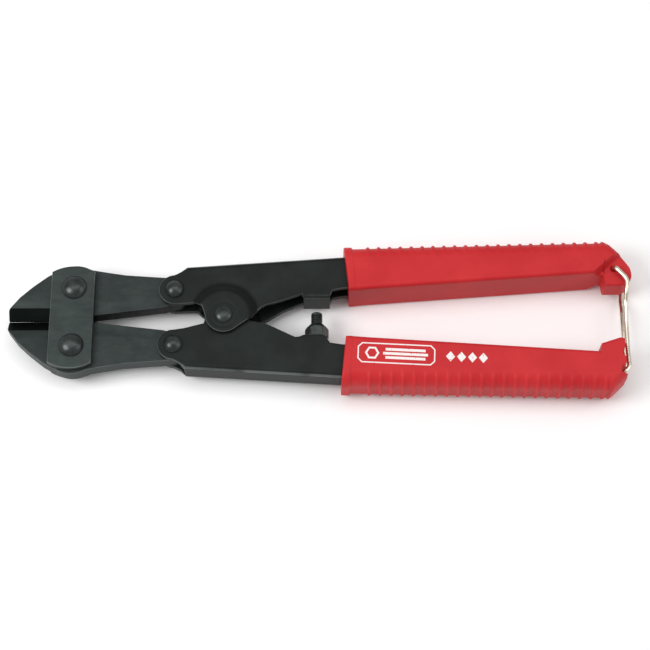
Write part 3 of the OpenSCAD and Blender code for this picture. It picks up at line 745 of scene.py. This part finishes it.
def makeGrips():
    g = gripShape
    front, reach = boxMm("upper_grip")[0][0], boxMm("upper_grip")[1][0]
    outEnd, inEnd = reach - 9, reach - 12.7

    def straightOut(x):
        return g["outFront"] + (x - front) * (g["outRear"] - g["outFront"]) / (outEnd - front)

    def straightIn(x):
        return g["inFront"] + (x - front - 1) * (g["inRear"] - g["inFront"]) / (inEnd - front - 1)

    def upperOuter(x):
        # the corner is cut off in a curve that runs down to the round end
        backs = [0, 0.1, 0.5, 1.7, 4.2, 7.2, 9.0, 9.6]
        corner = between(reach - x, backs, [14.8, 16.0, 17.5, 19.4, 22.8, 25.9, 26.9, 27.2])
        return np.minimum(corner, straightOut(x))

    def upperInner(x):
        back = reach - x
        hook = 10.8 + (straightIn(x) - 10.8) * (1 - eased(x, inEnd + 3.0, inEnd + 3.6))
        end = 14.8 - np.sqrt(np.maximum(16 - np.maximum(4 - back, 0) ** 2, 0))
        return np.where(back > 4, hook, end)

    def upperCap(x, y):
        # flat faces beyond a slanting bevel, for the latch to lie on
        lean = np.radians(-48.5)
        past = (x - hinge[0] + 3.8) * np.cos(lean) + (y - hinge[1] - 1.3) * np.sin(lean)
        return g["half"] + 0.3 - (g["half"] + 0.3 - g["endHalf"]) * eased(past, -0.2, 2.0)

    def hingeHole(x, y):
        return 0.8 * (1 - eased(np.hypot(x - hinge[0], y - hinge[1]), 0.9, 1.35))

    catchX, catchY = reach - 5.3, 20.3
    face = catchX + 0.6

    def lowerOuter(x):
        corner = between(x, [outEnd - 0.5, outEnd + 0.9, face + 0.5], [27.1, 26.0, 22.3])
        return np.minimum(corner, straightOut(x))

    def lowerInner(x):
        return between(x, [front + 1, inEnd, inEnd + 0.35, face - 1.3, face + 0.5],
                       [g["inFront"], g["inRear"] - 0.2, 11.2, 9.1, 9.3])

    def lowerFace(y):
        # a shallow relief, the notch that the crossbar lies in, and a lip below it
        relief = 0.9 * eased(y, catchY - 7.5, catchY - 6.9) * (1 - eased(y, catchY - 4.8, catchY - 4.2))
        within = np.maximum(1.05 ** 2 - (y - catchY) ** 2, 0)
        notch = (0.6 + np.sqrt(within)) * (within > 0) * eased(y, catchY - 1.9, catchY - 0.9)
        flare = 0.9 * eased(y, catchY - 1.9, catchY - 0.9) * (y < catchY - 1.0)
        lip = 0.5 * eased(y, catchY + 1.04, catchY + 1.3)
        return face - relief - notch - flare + lip

    plain = {"front": front, "firstRib": front + g["firstRib"], "ribEnd": outEnd - 1.4,
             "hole": lambda x, y: 0 * x * y}
    upper = dict(plain, rear=reach - 0.02, outer=upperOuter, inner=upperInner, cap=upperCap, hole=hingeHole,
                 rearFace=lambda y: reach - 0.02)
    lower = dict(plain, front=boxMm("lower_grip")[0][0], rear=face + 0.5, outer=lowerOuter, inner=lowerInner, rearFace=lowerFace,
                 cap=lambda x, y: g["half"] + 1 + 0 * x * y)
    a = gripSkin("upper_grip_moulded", 1, upper, grippyRed("red plastic"))
    b = gripSkin("lower_grip_moulded", -1, lower, grippyRed("printed red plastic", printed=True))
    finishPiece(a, "upper_handle", "grip", "upper_grip")
    finishPiece(b, "lower_handle", "grip", "lower_grip")
    print("grips", len(a.data.polygons), len(b.data.polygons))


latchShape = {
    "radius": 0.8, "bend": 1.5, "legZ": 6.35, "footZ": 3.3, "stub": 2.0,
    "leg": [(2.1, 12.4, 1), (2.4, 8.6, 0.96), (2.7, 4.6, 0.56), (2.9, -3, 0.44), (3, -11, 0.44),
            (2.9, -18.4, 0.52)],
}


def makeLatch(material):
    # one wire: in from the hinge, down a leg, across the notch, and back up to the hinge
    s = latchShape
    reach = boxMm("upper_grip")[1][0]
    leg = np.array([(reach - back, across, s["legZ"] * part) for back, across, part in s["leg"]])
    head = np.array([(hinge[0], hinge[1], s["stub"]), (hinge[0], hinge[1], s["legZ"])])
    foot = np.array([(reach - 5.3, -20.3, s["footZ"])])
    one = np.vstack([head, leg, foot])
    path = roundedPath(np.vstack([one, one[::-1] * (1, 1, -1)]), s["bend"])
    points, faces = tube(path + (0, 0, pivot[2]), s["radius"], 20)
    obj = meshObject("wire_latch_drawn", points, faces, material, sharp=60)
    return finishPiece(obj, "latch", "latch_wire", "wire_latch")


springShape = {"wire": 0.6, "coil": 4.7, "rise": 2.1, "upper": (12.2, 17.4), "lower": (19.2, -17.9), "turns": 3}


def makeSpring(material):
    # a helix about the pivot, whose two ends run straight to the arms' backs
    s = springShape

    def leave(end, sign):
        return np.arctan2(end[1], end[0]) - sign * np.arccos(s["coil"] / np.hypot(*end))

    first = leave(s["upper"], 1)
    last = leave(s["lower"], -1) - 2 * np.pi * s["turns"]
    t = np.linspace(0, 1, 150)
    angle = first + (last - first) * t
    coil = np.stack([s["coil"] * np.cos(angle), s["coil"] * np.sin(angle), s["rise"] * (1 - 2 * t)], -1)
    run = np.linspace(0, 1, 12)[:-1, None]
    start, end = np.array([*s["upper"], s["rise"]]), np.array([*s["lower"], -s["rise"]])
    path = np.vstack([start + run * (coil[0] - start), coil, end + run[::-1] * (coil[-1] - end)])
    points, faces = tube(path + pivot, s["wire"], 16)
    obj = meshObject("opening_spring_wound", points, faces, material, sharp=60)
    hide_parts("opening_spring", "spring_lower_leg")
    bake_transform(obj)


def makeBush(material):
    # a turned sleeve with its rims broken
    low, high = boxMm("pivot_bush")
    outer, bore = (high[0] - low[0]) / 2, 2.0
    half = (high[2] - low[2]) / 2
    rim = [(bore, half - 0.2), (bore + 0.2, half), (outer - 0.2, half), (outer, half - 0.2)]
    profile = rim + [(r, -z) for r, z in reversed(rim)]
    points, faces = lathe(profile + profile[:1], (low + high) / 2)
    finishPiece(meshObject("pivot_bush_turned", points, faces, material), "upper_handle", "rivet_steel", "pivot_bush")


print("stage")
bpy.context.scene.view_settings.view_transform = "Standard"
makeCamera()
areaLight("key", (-0.42, -0.1, 0.48), (0.3, 0.3), stageLook["key"])
areaLight("fill", (0.5, -0.05, 0.45), (0.4, 0.4), stageLook["fill"])
areaLight("top", (0.0, 0.15, 0.75), (0.7, 0.3), stageLook["top"])
world = bpy.data.worlds.new("studio")
bpy.context.scene.world = world
world.use_nodes = True
world.node_tree.nodes["Background"].inputs[0].default_value = (1, 1, 1, 1)
world.node_tree.nodes["Background"].inputs[1].default_value = stageLook["world"]

floorFinish = Finish("pale floor", Roughness=0.55)
speck = floorFinish.noise(60, 3, 0.5)
floorFinish.set(floorFinish.blend(speck, (0.93, 0.93, 0.93, 1), (0.96, 0.96, 0.96, 1)), None, None,
                floorFinish.noise(900, 2, 0.5), 0.01)
floorMesh = bpy.data.meshes.new("floor")
floorMesh.from_pydata([(-3, -3, 0), (3, -3, 0), (3, 3, 0), (-3, 3, 0)], [], [(0, 1, 2, 3)])
floorMesh.materials.append(floorFinish.material)
floor = bpy.data.objects.new("floor", floorMesh)
bpy.context.scene.collection.objects.link(floor)

print("steel")
jawHalf = (boxMm("upper_jaw")[1][2] - boxMm("upper_jaw")[0][2]) / 2
jawFinish = oxideSteel("forged jaw steel", 0.8, groundAndShadedBevels=True)
plateFinish = oxideSteel("side plate steel", 1.0)
armFinish = armSteel("arm steel")
rivetFinish = rivetSteel("rivet steel")
screwFinish = rivetSteel("screw steel")
wireFinish = platedWire("plated wire")
softened("upper_jaw", "upper_jaw", "jaw_steel", jawFinish, 0.3)
softened("lower_jaw", "lower_jaw", "jaw_steel", jawFinish, 0.3)
makeStrap("front_side_plate", plateFinish)
makeStrap("back_side_plate", plateFinish)
makeArm("upper_arm", "upper_handle", 1, armFinish)
makeArm("lower_arm", "lower_handle", 0, armFinish)
softened("stop_pad", "upper_handle", "arm_steel", armFinish, 0.3)
softened("stop_weld_nut", "lower_handle", "arm_steel", armFinish, 0.3, merge=False)
softened("stop_lock_nut", "lower_handle", "screw_steel", screwFinish, 0.2, merge=False)
for node in rivetShapes:
    makeRivet(node, rivetFinish)
makeStopScrew(screwFinish)
makeBush(rivetFinish)
makeSpring(wireFinish)

print("grips and latch")
makeGrips()
makeLatch(wireFinish)
